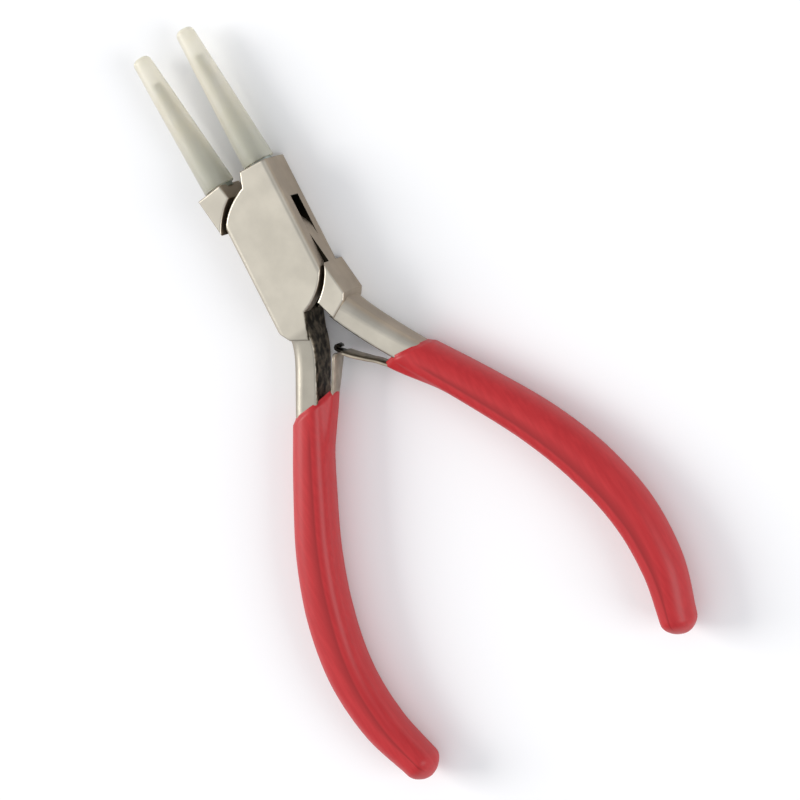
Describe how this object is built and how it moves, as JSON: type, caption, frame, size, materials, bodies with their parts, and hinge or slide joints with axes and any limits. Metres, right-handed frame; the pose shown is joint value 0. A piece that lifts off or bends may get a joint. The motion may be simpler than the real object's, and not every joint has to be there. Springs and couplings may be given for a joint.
{
  "type": "round nose pliers",
  "caption": "Round nose pliers with nylon cone jaws, a riveted box joint, leaf springs and bowed dipped grips.",
  "frame": {"origin": "where the rivet's axis meets the back face of the box, which is the face the pliers lie on", "axes": "+Z along the rivet towards the front face, +Y up the middle line towards the jaws, +X to the right"},
  "size_m": [0.071, 0.1384, 0.0098],
  "materials": {
    "satin_steel": "satin nickel plated forging",
    "post_steel": "turned steel",
    "spring_steel": "tempered spring steel",
    "nylon": "natural translucent nylon",
    "dipped_pvc": "glossy dip moulded PVC"
  },
  "bodies": {
    "box_side": {"box_half": "satin_steel", "pivot_rivet": "satin_steel", "nylon_jaw_right": "nylon", "jaw_post_right": "post_steel", "grip_left": "dipped_pvc", "spring_rivet_left": "post_steel"},
    "web_side": {"inner_half": "satin_steel", "nylon_jaw_left": "nylon", "jaw_post_left": "post_steel", "grip_right": "dipped_pvc", "spring_rivet_right": "post_steel"},
    "left_leaf": {"leaf_spring_left": "spring_steel"},
    "right_leaf": {"leaf_spring_right": "spring_steel"}
  },
  "joints": [
    {"name": "jaw_pivot", "type": "hinge", "parent": "box_side", "child": "web_side", "pos_m": [0, 0, 0.0049], "axis": [0, 0, 1], "range_deg": [-8.5, 6], "stiffness_Nm_per_rad": 3},
    {"name": "left_spring_flex", "type": "hinge", "parent": "box_side", "child": "left_leaf", "pos_m": [-0.00538, -0.02647, 0.0049], "axis": [0, 0, 1], "range_deg": [-12, 17], "deforming": ["leaf_spring_left"]},
    {"name": "right_spring_flex", "type": "hinge", "parent": "web_side", "child": "right_leaf", "pos_m": [0.00573, -0.02715, 0.0049], "axis": [0, 0, 1], "range_deg": [-14, 10], "deforming": ["leaf_spring_right"]}
  ],
  "couplings": [
    {"joint": "left_spring_flex", "follows": "jaw_pivot", "ratio": -1.85},
    {"joint": "right_spring_flex", "follows": "jaw_pivot", "ratio": 1.5}
  ]
}
